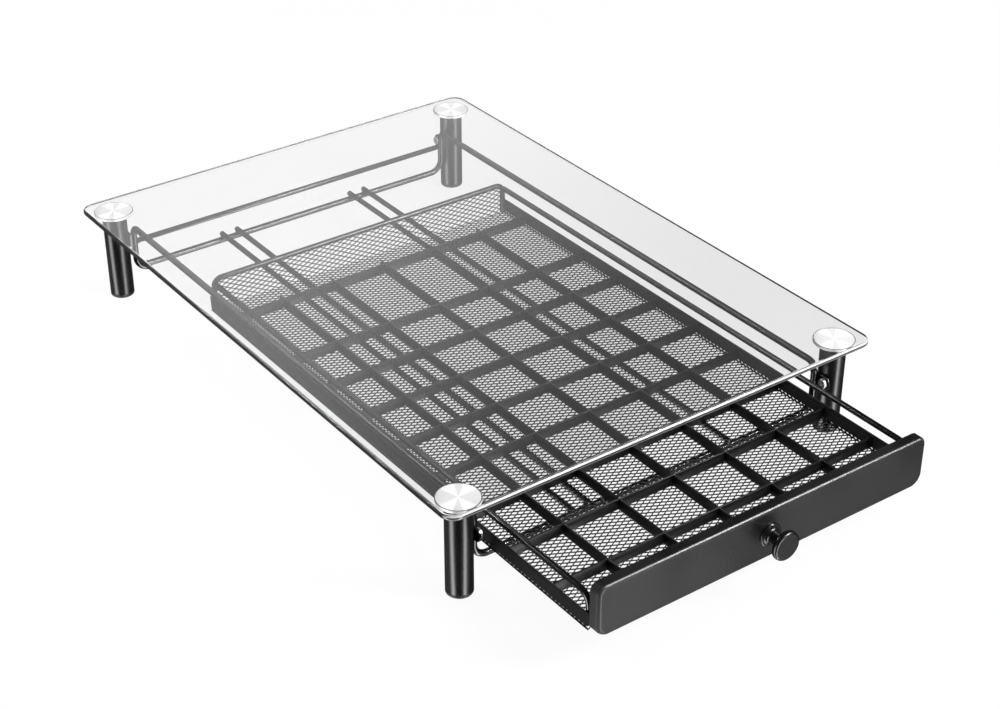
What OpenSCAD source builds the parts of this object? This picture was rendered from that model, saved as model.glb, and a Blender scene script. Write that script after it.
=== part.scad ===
// Coffee pod drawer: a clear glass shelf on four round legs, with a wire frame
// between them that carries a pull-out tray of expanded mesh, divided into cells.
// The front faces -Y, +X is to the right and +Z is up. The origin is the middle of
// the underside of the whole object's box, with the drawer out by drawer_out.

/* [Pod tray] */
// Pod cells across the drawer
columns = 6; // [4:1:7]
// Rows of single pod cells, counted from the front
rows = 8; // [5:1:9]
// Distance between cells across the drawer
pitch_x = 43; // [41:0.5:46]
// Distance between cells along the depth
pitch_y = 42.5; // [41:0.5:46]
// Depth of the long cells behind the last row
long_row = 71.4; // [50:0.2:80]
// Height of the divider strips
strip_h = 8; // [6:0.5:12]
// Thickness of the divider strips
strip_t = 1.2; // [0.8:0.1:1.5]
// Height of the side walls over the tray's underside
wall_h = 12; // [8:0.5:14]
// Height of the front wall over the tray's underside
front_wall_h = 10; // [8:0.5:12]
// Thickness of the expanded mesh
mesh_t = 1.2; // [1:0.1:1.6]
// Height of the rear wall over the tray's underside
rear_wall_h = 27.25; // [22:0.25:30]
// How far the drawer stands out of its closed place
drawer_out = 96; // [0:1:200]

/* [Front panel] */
// Height of the front panel
panel_h = 36; // [30:1:36]
// Depth of the panel's lip
panel_depth = 8; // [6:0.5:10]
// Thickness of the panel's sheet
panel_t = 1.2; // [1:0.1:1.5]
// Radius of the panel's lower corners
panel_low_r = 9; // [6:0.5:12]
// Radius of the panel's upper corners
panel_top_r = 6; // [4:0.5:8]
// Diameter of the knob's disc
knob_d = 19.6; // [16:0.2:22]
// Reach of the knob in front of the panel
knob_reach = 15.5; // [13:0.5:20]

/* [Wire frame] */
// Diameter of the frame's main wire
wire_d = 4.5; // [4.2:0.1:5]
// Diameter of the runners and of the drawer's own wires
thin_wire_d = 4; // [3.5:0.1:4]
// Height of the lower rails' centre lines
rail_z = 17.5; // [16:0.5:18]
// Height of the rear stop rail's centre line
stop_z = 39; // [34:0.5:42]
// Height of the side rails' centre lines
side_z = 51.3; // [49:0.1:54]
// Distance from the middle to the middle of a pair of runners
runner_x = 57.5; // [45:0.5:70]
// Distance between the two runners of a pair
runner_gap = 13; // [10:0.5:20]

/* [Shelf and legs] */
// Height of the glass's upper face over the table
height = 71; // [69:0.5:80]
// Thickness of the glass
glass_t = 4; // [3:0.5:5]
// Corner radius of the glass
glass_r = 10; // [6:1:16]
// Overhang of the glass past the middle of a leg, at the sides
side_overhang = 19; // [16:0.5:30]
// Overhang of the glass past the middle of a leg, at the front and the rear
end_overhang = 18; // [16:0.5:30]
// Diameter of the legs
leg_d = 17.5; // [16:0.5:20]
// Diameter of the steel discs under the glass
disc_d = 28.2; // [24:0.2:32]
// Thickness of the steel discs
disc_t = 2; // [1.5:0.1:3]

/* [Hidden] */
SIDES = ["left", "right"];
ENDS = ["front", "rear"];
CORNERS = [for (e = ENDS, s = SIDES) str(e, "_", s)];
$fn = 48;
eps = 0.01;

// Colours as seen: black paint, brushed steel and clear glass
black = [0.10, 0.10, 0.11];
dark_strip = [0.17, 0.17, 0.18];
steel = [0.78, 0.78, 0.79];
clear_glass = [0.86, 0.90, 0.90, 0.35];

// Gaps and seats
weld = 0.3;            // how deep two crossing wires are welded into each other
slide_gap = 0.3;       // between the runners and the tray's underside
stop_gap = 0.75;       // between the stop rail and the closed tray
front_gap = 1.35;      // between the lower rail and the closed panel
lap_gap = 0.15;        // on each side of a strip in its half-lap slot
sheet_t = 1;           // side walls and front wall
lug_t = 1.5;           // room for a lug between a corner post and its leg
bore_gap = 0.05;       // round what sits in a bore
thread_gap = 0.15;     // round a screw in a plain hole
rim_gap = 0.2;         // between the rear mesh's corners and the rim's bends

wire_r = wire_d / 2;
thin_r = thin_wire_d / 2;

// Heights
runner_z = rail_z + wire_r + thin_r - weld;
tray_z = runner_z + thin_r + slide_gap;
strip_z = tray_z + mesh_t;
rim_z = tray_z + rear_wall_h - thin_r;
panel_drop = 1.75;     // the panel's lower edge under the tray's
panel_z = tray_z - panel_drop;
glass_z = height - glass_t;
leg_top = glass_z - disc_t;
foot_h = 3;
knob_z = 39.5;

// The knob's screw: its radius, and how far it goes into the knob
knob_screw_r = 2;
knob_screw_h = 8;

// Widths, from the middle of the object
tray_x = columns * pitch_x / 2;
wall_in_x = tray_x - sheet_t;
front_half_w = tray_x - panel_low_r - 1;  // what fits between the panel's lower corners
drawer_wire_x = wall_in_x - thin_r;
frame_gap = 8.5;       // from the tray's side to the middle of the frame's wire
frame_x = tray_x + frame_gap;
leg_x = frame_x + wire_r + lug_t + leg_d / 2;
glass_w = 2 * (leg_x + side_overhang);

// Depths in the drawer, from the panel's front face to the rear
cells_v = panel_t + sheet_t;
function strip_v(k) = cells_v + pitch_y * k;
last_v = strip_v(rows) + long_row;
rear_room = 27;        // from the last cross divider to the rear wall
strip_end = 5;         // of a long divider, past the last cross divider
rim_v = last_v + rear_room;
drawer_len = rim_v + thin_r;

// Depths in the stand, from its middle
frame_y = (drawer_len - panel_depth - front_gap + stop_gap) / 2;
leg_back = 3;          // from the corner posts to the middle of the legs
leg_y = frame_y + leg_back;
glass_d = 2 * (leg_y + end_overhang);
closed_face_y = -(frame_y + wire_r + front_gap + panel_depth);
face_y = closed_face_y - drawer_out;

// The middle of the whole box, which the origin lies under
stand_y = (knob_reach - face_y - glass_d / 2) / 2;

// Bends of the wires, at their centre lines
top_bend = 6;
low_bend = 10;
rim_bend = 6;
rail_drop = 3;         // the drawer's rails under the rim
drawer_rail_z = rim_z - rail_drop;
drawer_rail_v = 11.5;
drawer_rail_bend = 8;
rail_bend_v = drawer_rail_v + drawer_rail_bend;

// Places of the four runners, from left to right
runner_places = [for (side = [-1, 1], end = [-1, 1]) side * runner_x + end * runner_gap / 2];

// The screw through a corner post's lug into its leg
lug_h = 10;
lug_back = 0.9;        // how deep the lug is set into the post's wire
lug_x = frame_x + wire_r - lug_back;
screw_y = leg_y + 4;
screw_z = 40.6;
screw_r = 2;
screw_hole_d = 2 * (screw_r + thread_gap);

// The disc's stub and the foot cap's spigot, which the leg's bores take
stub_r = 4;
stub_h = 10;
spigot_r = 6;
spigot_h = 6;
bore_room = 2;         // past the end of the stub and of the spigot

// Runner wires run past the rails' middles
runner_front = wire_r - 0.2;
runner_rear = 3;

// Counts of diamonds and sizes of the border and strands, across and along
floor_net = [8, 17, 5, 3];
rear_net = [12, 2, 1.5, 1.6];

// Places

module at_stand() { translate([0, stand_y, 0]) children(); }

module at_drawer() { translate([0, stand_y + face_y, 0]) children(); }

// A piece drawn for the rear right corner, put at the corner of that name
module at_corner(name) {
    front = name[0] == "f";
    left = name == "front_left" || name == "rear_left";
    at_stand() mirror([left ? 1 : 0, 0, 0]) mirror([0, front ? 1 : 0, 0]) children();
}

// Straight wires and quarter bends

module wire_x(x0, x1, y, z, d) {
    translate([x0, y, z]) rotate([0, 90, 0]) cylinder(h = x1 - x0, d = d);
}

module wire_y(y0, y1, x, z, d) {
    translate([x, y1, z]) rotate([90, 0, 0]) cylinder(h = y1 - y0, d = d);
}

module wire_z(z0, z1, x, y, d) {
    translate([x, y, z0]) cylinder(h = z1 - z0, d = d);
}

// Quarter of a ring round Z, from +X to +Y
module bend(r, d) { rotate_extrude(angle = 90) translate([r, 0]) circle(d = d); }

// Outlines

// Rectangle with rounded corners
module rounded_rect(w, d, r) {
    square([w, d - 2 * r], center = true);
    square([w - 2 * r, d], center = true);
    for (x = [-1, 1], y = [-1, 1]) translate([x * (w / 2 - r), y * (d / 2 - r)]) circle(r = r);
}

// Points of an arc round a centre, from one angle to another
function arc_points(centre, r, from, to, steps = 6) =
    [for (i = [0:steps]) centre + r * [cos(from + (to - from) * i / steps),
                                       sin(from + (to - from) * i / steps)]];

// The panel's outline in X and Z, shrunk by inset, with its lower edge at 0
module panel_outline(inset) {
    low_r = panel_low_r - inset;
    top_r = panel_top_r - inset;
    half = tray_x - inset;
    top = panel_h - inset;
    for (s = [-1, 1]) {
        translate([s * (half - low_r), inset + low_r]) circle(r = low_r);
        translate([s * (half - top_r), top - top_r]) circle(r = top_r);
    }
    translate([-(half - low_r), inset]) square([2 * (half - low_r), panel_h / 2]);
    translate([-(half - top_r), panel_h / 2]) square([2 * (half - top_r), top - panel_h / 2]);
    translate([-half, inset + low_r]) square([2 * half, top - top_r - inset - low_r]);
}

// A net of diamonds of that size, with a plain border. Its form is the count of
// diamonds across and along, the border's width and the strands' width. A second
// set of diamonds lies between those of the first
module net(size, form) {
    nx = form[0];
    ny = form[1];
    border = form[2];
    strand = form[3];
    cell_w = (size[0] - 2 * border) / nx;
    cell_h = (size[1] - 2 * border) / ny;
    half_w = cell_w / 2 - strand / 2 * norm([cell_w, cell_h]) / cell_h;
    half_h = half_w * cell_h / cell_w;
    module diamond() {
        polygon([[half_w, 0], [0, half_h], [-half_w, 0], [0, -half_h]]);
    }
    difference() {
        square(size);
        for (i = [0:nx - 1], j = [0:ny - 1])
            translate([border + cell_w * (i + 0.5), border + cell_h * (j + 0.5)]) diamond();
        for (i = [1:nx - 1], j = [1:ny - 1])
            translate([border + cell_w * i, border + cell_h * j]) diamond();
    }
}

// Shelf and legs

// Sheet of glass with its edge polished round
module glass_shelf() {
    edge_r = 0.45 * glass_t;
    steps = 4;
    color(clear_glass) at_stand() translate([0, 0, glass_z]) hull()
        for (a = [0 : 90 / steps : 90]) {
            inset = edge_r * (1 - sin(a));
            rise = edge_r * (1 - cos(a));
            translate([0, 0, rise]) linear_extrude(glass_t - 2 * rise)
                rounded_rect(glass_w - 2 * inset, glass_d - 2 * inset, glass_r - inset);
        }
}

// Steel disc with the threaded stub that screws into the leg
module top_disc() {
    edge = 0.3;
    point = 0.5;
    color(steel) translate([leg_x, leg_y, leg_top]) rotate_extrude() polygon([
        [0, -stub_h], [stub_r - point, -stub_h], [stub_r, point - stub_h], [stub_r, 0],
        [disc_d / 2 - edge, 0], [disc_d / 2, edge], [disc_d / 2, disc_t - edge],
        [disc_d / 2 - edge, disc_t], [0, disc_t]
    ]);
}

// Round leg with an eased upper edge, bored for the stub, the spigot and the screw
module leg() {
    stub_bore_h = stub_h + bore_room;
    spigot_bore_h = spigot_h + bore_room;
    leg_r = leg_d / 2;
    edge_r = 0.7;
    color(black) difference() {
        translate([leg_x, leg_y, 0]) rotate_extrude() polygon(concat(
            [[0, foot_h], [leg_r, foot_h]],
            arc_points([leg_r - edge_r, leg_top - edge_r], edge_r, 0, 90, 3),
            [[0, leg_top]]
        ));
        translate([leg_x, leg_y, leg_top - stub_bore_h])
            cylinder(h = stub_bore_h + eps, r = stub_r + bore_gap);
        translate([leg_x, leg_y, foot_h - eps])
            cylinder(h = spigot_bore_h, r = spigot_r + bore_gap);
        wire_x(leg_x - leg_d, leg_x - 1, screw_y, screw_z, 2 * (screw_r + bore_gap));
    }
}

// Foot cap with a rounded lower edge, and the spigot that holds it in the leg
module foot_cap() {
    edge_r = 1.8;
    color(black) translate([leg_x, leg_y, 0]) {
        rotate_extrude() difference() {
            union() {
                square([leg_d / 2, foot_h]);
                square([spigot_r, foot_h + spigot_h]);
            }
            translate([leg_d / 2 - edge_r, 0]) difference() {
                translate([0, -eps]) square([edge_r + eps, edge_r + eps]);
                translate([0, edge_r]) circle(r = edge_r);
            }
        }
    }
}

// Wire frame

module side_rail() {
    color(black) wire_y(top_bend - frame_y, frame_y - top_bend, frame_x, side_z, wire_d);
}

// Upright beside a leg, bent into the side rail above, with the lug that is
// screwed to the leg
module corner_post() {
    color(black) difference() {
        union() {
            translate([frame_x, frame_y - top_bend, side_z - top_bend])
                rotate([90, 0, 90]) bend(top_bend, wire_d);
            wire_z(rail_z + low_bend, side_z - top_bend, frame_x, frame_y, wire_d);
            translate([lug_x, frame_y, screw_z - lug_h / 2])
                cube([lug_t + lug_back, screw_y - frame_y, lug_h]);
            wire_x(lug_x, lug_x + lug_t + lug_back, screw_y, screw_z, lug_h);
        }
        wire_x(lug_x - 1, leg_x, screw_y, screw_z, screw_hole_d);
    }
}

// Bend from the upright into the lower rail
module corner_bend() {
    color(black) translate([frame_x - low_bend, frame_y, rail_z + low_bend])
        rotate([-90, 0, 0]) bend(low_bend, wire_d);
}

module lower_rail() {
    color(black) wire_x(low_bend - frame_x, frame_x - low_bend, frame_y, rail_z, wire_d);
}

// The stop rail between the rear uprights, cut to sit against them
module rear_stop_rail() {
    color(black) at_stand() difference() {
        wire_x(-frame_x, frame_x, frame_y, stop_z, thin_wire_d);
        for (s = [-1, 1]) wire_z(stop_z - 5, stop_z + 5, s * frame_x, frame_y, wire_d);
    }
}

// A runner lies across both lower rails and is welded into them
module runner(x) {
    color(black) at_stand() difference() {
        wire_y(-frame_y - runner_front, frame_y + runner_rear, x, runner_z, thin_wire_d);
        for (s = [-1, 1])
            wire_x(x - thin_wire_d, x + thin_wire_d, s * frame_y, rail_z, wire_d);
    }
}

// Screw head with its seat at 0 and its face at +Z: a rim, a chamfer and a hex socket
module screw_head(d, h, chamfer, socket_d) {
    difference() {
        union() {
            cylinder(h = h - chamfer, d = d);
            translate([0, 0, h - chamfer]) cylinder(h = chamfer, d1 = d, d2 = d - 2 * chamfer);
        }
        translate([0, 0, h / 2]) cylinder(h = h, d = socket_d, $fn = 6);
    }
}

module frame_screw() {
    color(steel) {
        translate([lug_x, screw_y, screw_z]) rotate([0, -90, 0]) screw_head(7, 2.2, 0.8, 2.6);
        wire_x(lug_x, leg_x - 2, screw_y, screw_z, 2 * screw_r);
    }
}

module frame_screws() { for (c = CORNERS) at_corner(c) frame_screw(); }

// Drawer

// The tray's floor, with a plain tongue in front that lies in the panel
module floor_mesh() {
    color(dark_strip) at_drawer() translate([0, 0, tray_z]) {
        translate([-wall_in_x, panel_depth, 0]) linear_extrude(mesh_t)
            net([2 * wall_in_x, drawer_len - panel_depth], floor_net);
        translate([-front_half_w, cells_v, 0])
            cube([2 * front_half_w, panel_depth - cells_v, mesh_t]);
    }
}

// The rear wall, which stands on the floor and fills the rim
module rear_mesh() {
    w = 2 * (drawer_wire_x - thin_r);
    h = rim_z - thin_r - strip_z;
    corner_r = rim_bend - thin_r + rim_gap;
    color(dark_strip) at_drawer()
        translate([-w / 2, rim_v + mesh_t / 2, strip_z]) rotate([90, 0, 0])
        linear_extrude(mesh_t) intersection() {
            net([w, h], rear_net);
            union() {
                square([w, h - corner_r]);
                translate([corner_r, 0]) square([w - 2 * corner_r, h]);
                for (x = [corner_r, w - corner_r])
                    translate([x, h - corner_r]) circle(r = corner_r);
            }
        }
}

// Rim wire round the rear wall: two uprights, two rounded corners and the top
module rear_rim() {
    x = drawer_wire_x;
    color(black) at_drawer() {
        for (s = [0, 1]) mirror([s, 0, 0]) {
            wire_z(strip_z, rim_z - rim_bend, x, rim_v, thin_wire_d);
            translate([x - rim_bend, rim_v, rim_z - rim_bend])
                rotate([90, 0, 0]) bend(rim_bend, thin_wire_d);
        }
        wire_x(rim_bend - x, x - rim_bend, rim_v, rim_z, thin_wire_d);
    }
}

// Band folded over the edge of the mesh: a round back, and a hem that ends in a step
module side_wall() {
    hem_h = 4;
    hem_step = 0.2;
    color(dark_strip) at_drawer() translate([wall_in_x, drawer_len, tray_z])
        rotate([90, 0, 0]) linear_extrude(drawer_len - panel_depth) {
            square([sheet_t - hem_step, wall_h - hem_h]);
            translate([0, wall_h - hem_h]) square([sheet_t, hem_h - sheet_t / 2]);
            translate([sheet_t / 2, wall_h - sheet_t / 2]) circle(d = sheet_t);
        }
}

// Wire rail over the side wall, cut at the rear to sit against the rim's bend
module drawer_rail() {
    x = drawer_wire_x;
    color(black) at_drawer() difference() {
        wire_y(rail_bend_v, rim_v - thin_r + weld, x, drawer_rail_z, thin_wire_d);
        translate([x - rim_bend, rim_v, rim_z - rim_bend])
            rotate([90, 0, 0]) bend(rim_bend, thin_wire_d);
    }
}

// Front end of that rail, bent down behind the panel to stand on the tray
module rail_end() {
    x = drawer_wire_x;
    color(black) at_drawer() {
        translate([x, rail_bend_v, drawer_rail_z - drawer_rail_bend])
            rotate([90, 0, -90]) bend(drawer_rail_bend, thin_wire_d);
        wire_z(strip_z, drawer_rail_z - drawer_rail_bend, x, drawer_rail_v, thin_wire_d);
    }
}

module front_wall() {
    color(dark_strip) at_drawer() translate([-front_half_w, panel_t, tray_z])
        cube([2 * front_half_w, sheet_t, front_wall_h]);
}

// Pressed panel: a face with a rounded edge and a lip all round, open at the back
module front_panel() {
    edge_r = 2;
    steps = 4;
    color(black) at_drawer() translate([0, 0, panel_z]) difference() {
        rotate([90, 0, 0]) translate([0, 0, -panel_depth]) hull() {
            linear_extrude(panel_depth - edge_r) panel_outline(0);
            for (a = [90 / steps : 90 / steps : 90])
                linear_extrude(panel_depth - edge_r + edge_r * sin(a))
                    panel_outline(edge_r * (1 - cos(a)));
        }
        rotate([90, 0, 0]) translate([0, 0, -panel_depth - eps])
            linear_extrude(panel_depth - panel_t + eps) panel_outline(panel_t);
        translate([0, -eps, knob_z - panel_z]) rotate([-90, 0, 0])
            cylinder(h = 2 * panel_t, r = knob_screw_r + bore_gap);
    }
}

// Knob: base flange, waisted neck and a flat disc with a rounded rim
module knob() {
    disc_r = knob_d / 2;
    disc_h = 4.4;
    rim_r = 1.6;
    neck_r = 4.2;
    base_r = 8;
    base_edge_r = 0.8;
    foot_r = 2.2;          // of the hollow from the flange to the neck
    flare_r = 2.4;         // of the hollow from the neck to the disc
    under = knob_reach - disc_h;
    hole_h = knob_screw_h + 1;
    color(black) at_drawer() translate([0, 0, knob_z]) rotate([90, 0, 0]) difference() {
        rotate_extrude() polygon(concat(
            [[0, 0], [base_r, 0]],
            arc_points([base_r - base_edge_r, base_edge_r], base_edge_r, 0, 90, 3),
            arc_points([neck_r + foot_r, 2 * base_edge_r + foot_r], foot_r, -90, -180, 4),
            arc_points([neck_r + flare_r, under - flare_r], flare_r, 180, 90, 4),
            arc_points([disc_r - rim_r, under + rim_r], rim_r, -90, 0, 3),
            arc_points([disc_r - rim_r, knob_reach - rim_r], rim_r, 0, 90, 3),
            [[0, knob_reach]]
        ));
        translate([0, 0, -eps]) cylinder(h = hole_h, r = knob_screw_r + bore_gap);
    }
}

// The screw that holds the knob from behind the panel
module knob_screw() {
    color(steel) at_drawer() translate([0, panel_t, knob_z]) {
        rotate([90, 0, 0]) cylinder(h = panel_t + knob_screw_h, r = knob_screw_r);
        rotate([-90, 0, 0]) screw_head(8, 2.4, 0.5, 3);
    }
}

// Long divider, slotted from above at every cross divider
module long_divider(i) {
    color(dark_strip) at_drawer()
        translate([pitch_x * i - tray_x - strip_t / 2, 0, strip_z]) difference() {
            translate([0, cells_v, 0])
                cube([strip_t, last_v + strip_end - cells_v, strip_h]);
            for (k = [1:rows + 1])
                translate([-eps, cross_v(k) - strip_t / 2 - lap_gap, strip_h / 2])
                    cube([strip_t + 2 * eps, strip_t + 2 * lap_gap, strip_h]);
        }
}

function cross_v(k) = k <= rows ? strip_v(k) : last_v;

// Cross divider, slotted from below at every long divider
module cross_divider(k) {
    color(dark_strip) at_drawer()
        translate([0, cross_v(k) - strip_t / 2, strip_z]) difference() {
            translate([-wall_in_x, 0, 0]) cube([2 * wall_in_x, strip_t, strip_h]);
            for (i = [1:columns - 1])
                translate([pitch_x * i - tray_x - strip_t / 2 - lap_gap, -eps, -eps])
                    cube([strip_t + 2 * lap_gap, strip_t + 2 * eps, strip_h / 2 + eps]);
        }
}

glass_shelf();
for (c = CORNERS) {
    at_corner(c) top_disc();
    at_corner(c) leg();
    at_corner(c) foot_cap();
    at_corner(c) corner_post();
    at_corner(c) corner_bend();
}
at_corner("rear_left") side_rail();  // side_rail_left
at_corner("rear_right") side_rail();  // side_rail_right
at_corner("front_right") lower_rail();  // front_lower_rail
at_corner("rear_right") lower_rail();  // rear_lower_rail
rear_stop_rail();
for (i = [1:4]) {
    runner(runner_places[i - 1]);
}
frame_screws();
floor_mesh();
rear_mesh();
rear_rim();
mirror([1, 0, 0]) side_wall();  // side_wall_left
side_wall();  // side_wall_right
mirror([1, 0, 0]) drawer_rail();  // drawer_rail_left
drawer_rail();  // drawer_rail_right
mirror([1, 0, 0]) rail_end();  // rail_end_left
rail_end();  // rail_end_right
front_wall();
front_panel();
knob();
knob_screw();
for (i = [1:columns - 1]) {
    long_divider(i);
}
for (k = [1:rows + 1]) {
    cross_divider(k);
}
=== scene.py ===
# %% [markdown]
# # A pod drawer under a glass shelf
# The real object is a clear glass shelf on four round legs. A black wire frame between
# the legs carries a drawer of expanded steel mesh that slides out to the front.
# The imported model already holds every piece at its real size. This lesson gives each
# piece its surface and builds the shapes that a plain solid leaves out, such as the
# mesh, the bends of the wires and the polished edge of the glass.

import math

import bmesh
import bpy
from mathutils import Matrix, Vector


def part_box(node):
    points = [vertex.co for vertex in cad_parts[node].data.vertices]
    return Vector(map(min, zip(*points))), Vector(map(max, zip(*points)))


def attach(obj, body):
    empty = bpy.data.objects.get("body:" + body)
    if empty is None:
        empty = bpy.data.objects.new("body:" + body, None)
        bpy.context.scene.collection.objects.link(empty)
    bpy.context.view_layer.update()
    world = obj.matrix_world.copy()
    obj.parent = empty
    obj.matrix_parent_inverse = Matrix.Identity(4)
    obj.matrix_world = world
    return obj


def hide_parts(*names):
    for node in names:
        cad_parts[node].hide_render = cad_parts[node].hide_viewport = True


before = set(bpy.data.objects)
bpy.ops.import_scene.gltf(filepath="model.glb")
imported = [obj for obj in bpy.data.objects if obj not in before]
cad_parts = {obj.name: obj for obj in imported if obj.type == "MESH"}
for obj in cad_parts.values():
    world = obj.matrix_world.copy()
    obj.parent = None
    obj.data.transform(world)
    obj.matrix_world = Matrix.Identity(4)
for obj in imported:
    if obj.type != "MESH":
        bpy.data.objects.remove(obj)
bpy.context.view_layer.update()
MM = 0.001

# %% [markdown]
# ## Measure before modelling
# Every piece starts from the solid it dresses. Small helpers turn a node's box into
# its middle and its size, so that no place is typed in twice. The wires' centre lines,
# for instance, are the middles of their boxes. Another helper puts a new object in the
# scene.


# %% Measuring and placing
def middle(node):
    """Middle of a node's box."""
    low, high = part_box(node)
    return (low + high) / 2


def size(node):
    """Width, depth and height of a node's box."""
    low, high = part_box(node)
    return high - low


def in_mm(lengths):
    """Lengths in mm, rounded for a print."""
    return [round(v / MM, 1) for v in lengths]


def placed(name, data):
    """A new object with this data, in the scene."""
    made = bpy.data.objects.new(name, data)
    bpy.context.scene.collection.objects.link(made)
    return made


SIDES = {"left": -1, "right": 1}
ENDS = {"front": -1, "rear": 1}
CORNERS = [f"{end}_{side}" for end in ENDS for side in SIDES]
stand_mid = middle("glass_shelf")
print("glass shelf in mm:", in_mm(size("glass_shelf")))

# %% [markdown]
# ## Camera
# The photograph looks down at the object over its front left corner. The lens and the
# turn of the camera come from fitting the shelf's known rectangle to the picture:
# a fairly long lens, so the far corner is only a little smaller than the near one.

# %% Camera
LENS = 71.31  # mm
SENSOR_W = 36  # mm
YAW = math.radians(-35.98)
PITCH = math.radians(31.73)
CAMERA_DISTANCE = 1408.84 * MM
CAMERA_SHIFT_RIGHT = 32.02 * MM
CAMERA_SHIFT_UP = 1.2 * MM
NEAREST_SEEN = 50 * MM

back = Vector((math.sin(YAW) * math.cos(PITCH), -math.cos(YAW) * math.cos(PITCH), math.sin(PITCH)))
right = Vector((math.cos(YAW), math.sin(YAW), 0))
up = back.cross(right)
aim = Vector((stand_mid.x, stand_mid.y, 0))
place = aim + CAMERA_SHIFT_RIGHT * right + CAMERA_SHIFT_UP * up + CAMERA_DISTANCE * back

camera_data = bpy.data.cameras.new("camera")
camera_data.lens = LENS
camera_data.sensor_width = SENSOR_W
camera_data.clip_start = NEAREST_SEEN
camera = placed("camera", camera_data)
turn = Matrix((right, up, back)).transposed()
camera.matrix_world = Matrix.Translation(place) @ turn.to_4x4()
bpy.context.scene.camera = camera
bpy.context.scene.view_settings.view_transform = "Standard"
print("camera at", [round(v, 3) for v in place])

# %% [markdown]
# ## Node helpers
# Materials, groups and Geometry Nodes are all trees of nodes. Building them in code is
# easier to read when one helper makes a node and fills its sockets, and another makes
# a group with named inputs and outputs. Sums, ranges, mixes and noise are so common
# that each has a helper of its own, which gives back the socket with the result.


# %% Making nodes
def fill(tree, node, inputs):
    """Fill sockets; inputs maps a socket's name or number to a value or another socket."""
    for key, value in inputs.items():
        if isinstance(value, bpy.types.NodeSocket):
            tree.links.new(value, node.inputs[key])
        else:
            node.inputs[key].default_value = value


def add(tree, kind, inputs=None, **settings):
    """A new node with its settings made and its sockets filled."""
    new = tree.nodes.new(kind)
    for name, value in settings.items():
        setattr(new, name, value)
    fill(tree, new, inputs or {})
    return new


FLOAT, WHOLE, COLOUR, VECTOR, GEOMETRY, OBJECT, MATERIAL = (
    f"NodeSocket{kind}" for kind in ("Float", "Int", "Color", "Vector", "Geometry", "Object", "Material"))


def new_group(name, kind, inputs, outputs):
    """An empty group, the sockets of its inputs and the node of its outputs.

    inputs maps names to (type, default), and outputs maps names to types."""
    tree = bpy.data.node_groups.new(name, kind)
    for label, (socket_type, default) in inputs.items():
        made = tree.interface.new_socket(label, in_out="INPUT", socket_type=socket_type)
        if default is not None:
            made.default_value = default
    for label, socket_type in outputs.items():
        tree.interface.new_socket(label, in_out="OUTPUT", socket_type=socket_type)
    return tree, tree.nodes.new("NodeGroupInput").outputs, tree.nodes.new("NodeGroupOutput")


print("helpers for nodes made, with sockets such as", FLOAT)


# %% Sums, ranges, mixes and noise
def math_node(tree, operation, a, b=0.0, c=0.0):
    """One sum in a shader or geometry tree."""
    return add(tree, "ShaderNodeMath", {0: a, 1: b, 2: c}, operation=operation).outputs[0]


def ramp(tree, value, from_low, from_high, to_low, to_high, smooth=True):
    """value carried from one range to another, held at both ends."""
    kind = "SMOOTHSTEP" if smooth else "LINEAR"
    inputs = {"Value": value, "From Min": from_low, "From Max": from_high}
    inputs.update({"To Min": to_low, "To Max": to_high})
    return add(tree, "ShaderNodeMapRange", inputs, interpolation_type=kind).outputs["Result"]


def mixed_number(tree, share, low, high):
    """Number that goes from low to high as share goes from 0 to 1."""
    return add(tree, "ShaderNodeMix", {0: share, 2: low, 3: high}, data_type="FLOAT").outputs[0]


def mixed_colour(tree, share, low, high):
    """Colour that goes from low to high as share goes from 0 to 1."""
    return add(tree, "ShaderNodeMix", {0: share, 6: low, 7: high}, data_type="RGBA").outputs[2]


def combined(tree, x=0.0, y=0.0, z=0.0):
    """Vector of three numbers."""
    return add(tree, "ShaderNodeCombineXYZ", {0: x, 1: y, 2: z}).outputs[0]


def noise(tree, where, density, detail):
    """Noise from 0 to 1, most of it round a half."""
    inputs = {"Vector": where, "Scale": density, "Detail": detail}
    return add(tree, "ShaderNodeTexNoise", inputs).outputs["Fac"]


def place_on_piece(tree):
    """Place on the piece, in its own coordinates."""
    return add(tree, "ShaderNodeTexCoord").outputs["Object"]


def way_out(tree):
    """The three parts of the surface's normal."""
    normal = add(tree, "ShaderNodeTexCoord").outputs["Normal"]
    return add(tree, "ShaderNodeSeparateXYZ", {0: normal}).outputs


def new_material(name):
    """A material with its tree and its Principled shader."""
    made = bpy.data.materials.new(name)
    made.use_nodes = True
    return made, made.node_tree, made.node_tree.nodes["Principled BSDF"]


print("helpers for sums, ranges, mixes, noise and materials made")

# %% [markdown]
# ## Finishes: the powder coat
# Almost everything but the glass is steel under a black coat. Such a coat is never one
# flat black: it is sprayed as a powder and melts into a fine orange peel, so its gloss
# and its height change from grain to grain. One group makes that grain, and each
# material places it with its own size and strength.

# %% Powder coat grain
GRAIN_INPUTS = {
    "Dark": (COLOUR, (0.01, 0.01, 0.01, 1)),
    "Light": (COLOUR, (0.03, 0.03, 0.03, 1)),
    "Grain Size": (FLOAT, 0.0004),
    "Gloss Low": (FLOAT, 0.3),
    "Gloss High": (FLOAT, 0.45),
}
GRAIN_OUTPUTS = {"Colour": COLOUR, "Roughness": FLOAT, "Height": FLOAT}
SLOW_DENSITY = 0.02  # of the grain's own
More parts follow.
